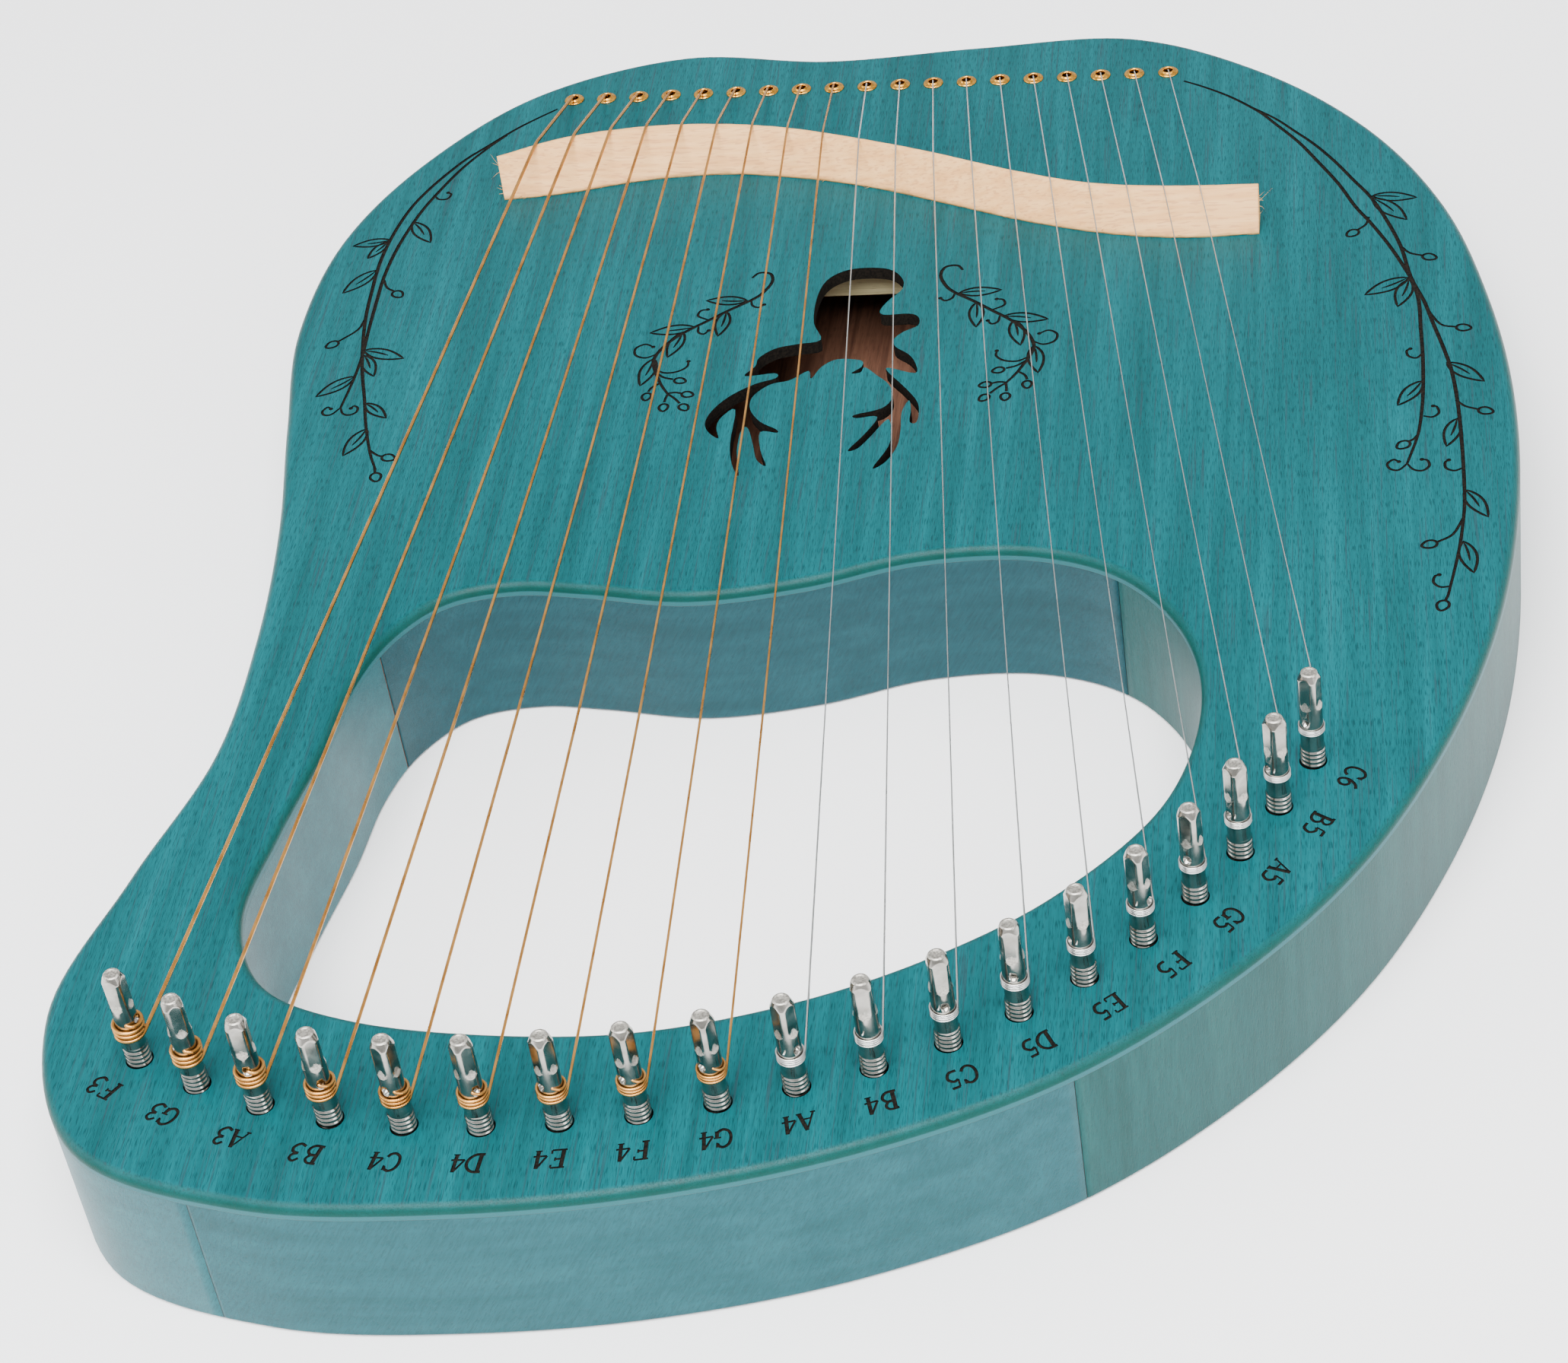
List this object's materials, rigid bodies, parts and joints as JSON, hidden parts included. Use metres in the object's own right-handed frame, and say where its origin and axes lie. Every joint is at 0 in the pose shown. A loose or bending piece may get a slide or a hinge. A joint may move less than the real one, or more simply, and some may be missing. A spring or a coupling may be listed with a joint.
{
  "type": "lyre harp",
  "caption": "Wooden lyre harp lying on its back, with a hand hole in its frame, plucked metal strings over a curved bridge and a turning pin for each string.",
  "frame": {"origin": "under the middle of the body, on its flat back", "axes": "+Z out of the face, +Y along the grain from the tuning pins to the string block, +X from the bass strings to the treble strings"},
  "size_m": [0.2928, 0.4069, 0.0594],
  "materials": {
    "stained_mahogany_face": "teal dye stain under a thin satin lacquer, open grain",
    "stained_mahogany_sides": "teal dye stain, paler on the long and end grain of the sides, satin",
    "stained_mahogany_back": "brown mahogany inside, teal stain outside, satin",
    "spruce_braces": "bare, planed",
    "beech_bridge": "bare, sanded",
    "nickel_plated_pins": "bright nickel plate, rolled thread",
    "bronze_wound_strings": "bronze winding over steel",
    "plain_steel_strings": "drawn plain wire",
    "brass_grommets": "polished"
  },
  "bodies": {
    "body": {"face_plate": "stained_mahogany_face", "back_plate": "stained_mahogany_back", "bass_side_plank": "stained_mahogany_sides", "treble_side_plank": "stained_mahogany_sides", "pin_block": "stained_mahogany_sides", "hand_rail": "stained_mahogany_sides", "string_block": "stained_mahogany_sides", "soundboard_brace_far": "spruce_braces", "soundboard_brace_near": "spruce_braces", "back_brace": "spruce_braces", "bridge": "beech_bridge", "string_grommets": "brass_grommets", "string_F3": "bronze_wound_strings", "string_G3": "bronze_wound_strings", "string_A3": "bronze_wound_strings", "string_B3": "bronze_wound_strings", "string_C4": "bronze_wound_strings", "string_D4": "bronze_wound_strings", "string_E4": "bronze_wound_strings", "string_F4": "bronze_wound_strings", "string_G4": "bronze_wound_strings", "string_A4": "plain_steel_strings", "string_B4": "plain_steel_strings", "string_C5": "plain_steel_strings", "string_D5": "plain_steel_strings", "string_E5": "plain_steel_strings", "string_F5": "plain_steel_strings", "string_G5": "plain_steel_strings", "string_A5": "plain_steel_strings", "string_B5": "plain_steel_strings", "string_C6": "plain_steel_strings"},
    "pin_F3": {"tuning_pin_F3": "nickel_plated_pins"},
    "pin_G3": {"tuning_pin_G3": "nickel_plated_pins"},
    "pin_A3": {"tuning_pin_A3": "nickel_plated_pins"},
    "pin_B3": {"tuning_pin_B3": "nickel_plated_pins"},
    "pin_C4": {"tuning_pin_C4": "nickel_plated_pins"},
    "pin_D4": {"tuning_pin_D4": "nickel_plated_pins"},
    "pin_E4": {"tuning_pin_E4": "nickel_plated_pins"},
    "pin_F4": {"tuning_pin_F4": "nickel_plated_pins"},
    "pin_G4": {"tuning_pin_G4": "nickel_plated_pins"},
    "pin_A4": {"tuning_pin_A4": "nickel_plated_pins"},
    "pin_B4": {"tuning_pin_B4": "nickel_plated_pins"},
    "pin_C5": {"tuning_pin_C5": "nickel_plated_pins"},
    "pin_D5": {"tuning_pin_D5": "nickel_plated_pins"},
    "pin_E5": {"tuning_pin_E5": "nickel_plated_pins"},
    "pin_F5": {"tuning_pin_F5": "nickel_plated_pins"},
    "pin_G5": {"tuning_pin_G5": "nickel_plated_pins"},
    "pin_A5": {"tuning_pin_A5": "nickel_plated_pins"},
    "pin_B5": {"tuning_pin_B5": "nickel_plated_pins"},
    "pin_C6": {"tuning_pin_C6": "nickel_plated_pins"}
  },
  "joints": [
    {"name": "tune_F3", "type": "hinge", "parent": "body", "child": "pin_F3", "pos_m": [-0.1218, -0.165, 0.045], "axis": [0, 0, -1], "range_deg": [-990, 30]},
    {"name": "tune_G3", "type": "hinge", "parent": "body", "child": "pin_G3", "pos_m": [-0.10841, -0.17177, 0.045], "axis": [0, 0, -1], "range_deg": [-990, 30]},
    {"name": "tune_A3", "type": "hinge", "parent": "body", "child": "pin_A3", "pos_m": [-0.09445, -0.17721, 0.045], "axis": [0, 0, -1], "range_deg": [-990, 30]},
    {"name": "tune_B3", "type": "hinge", "parent": "body", "child": "pin_B3", "pos_m": [-0.07987, -0.18073, 0.045], "axis": [0, 0, -1], "range_deg": [-990, 30]},
    {"name": "tune_C4", "type": "hinge", "parent": "body", "child": "pin_C4", "pos_m": [-0.06498, -0.1825, 0.045], "axis": [0, 0, -1], "range_deg": [-990, 30]},
    {"name": "tune_D4", "type": "hinge", "parent": "body", "child": "pin_D4", "pos_m": [-0.04999, -0.1827, 0.045], "axis": [0, 0, -1], "range_deg": [-990, 30]},
    {"name": "tune_E4", "type": "hinge", "parent": "body", "child": "pin_E4", "pos_m": [-0.03503, -0.18155, 0.045], "axis": [0, 0, -1], "range_deg": [-990, 30]},
    {"name": "tune_F4", "type": "hinge", "parent": "body", "child": "pin_F4", "pos_m": [-0.02017, -0.17954, 0.045], "axis": [0, 0, -1], "range_deg": [-990, 30]},
    {"name": "tune_G4", "type": "hinge", "parent": "body", "child": "pin_G4", "pos_m": [-0.00547, -0.17651, 0.045], "axis": [0, 0, -1], "range_deg": [-990, 30]},
    {"name": "tune_A4", "type": "hinge", "parent": "body", "child": "pin_A4", "pos_m": [0.00897, -0.17247, 0.045], "axis": [0, 0, -1], "range_deg": [-990, 30]},
    {"name": "tune_B4", "type": "hinge", "parent": "body", "child": "pin_B4", "pos_m": [0.02313, -0.16752, 0.045], "axis": [0, 0, -1], "range_deg": [-990, 30]},
    {"name": "tune_C5", "type": "hinge", "parent": "body", "child": "pin_C5", "pos_m": [0.03665, -0.16104, 0.045], "axis": [0, 0, -1], "range_deg": [-990, 30]},
    {"name": "tune_D5", "type": "hinge", "parent": "body", "child": "pin_D5", "pos_m": [0.04938, -0.15311, 0.045], "axis": [0, 0, -1], "range_deg": [-990, 30]},
    {"name": "tune_E5", "type": "hinge", "parent": "body", "child": "pin_E5", "pos_m": [0.0612, -0.14389, 0.045], "axis": [0, 0, -1], "range_deg": [-990, 30]},
    {"name": "tune_F5", "type": "hinge", "parent": "body", "child": "pin_F5", "pos_m": [0.07191, -0.13339, 0.045], "axis": [0, 0, -1], "range_deg": [-990, 30]},
    {"name": "tune_G5", "type": "hinge", "parent": "body", "child": "pin_G5", "pos_m": [0.08137, -0.12175, 0.045], "axis": [0, 0, -1], "range_deg": [-990, 30]},
    {"name": "tune_A5", "type": "hinge", "parent": "body", "child": "pin_A5", "pos_m": [0.08968, -0.10927, 0.045], "axis": [0, 0, -1], "range_deg": [-990, 30]},
    {"name": "tune_B5", "type": "hinge", "parent": "body", "child": "pin_B5", "pos_m": [0.09691, -0.09613, 0.045], "axis": [0, 0, -1], "range_deg": [-990, 30]},
    {"name": "tune_C6", "type": "hinge", "parent": "body", "child": "pin_C6", "pos_m": [0.1034, -0.0826, 0.045], "axis": [0, 0, -1], "range_deg": [-990, 30]}
  ]
}
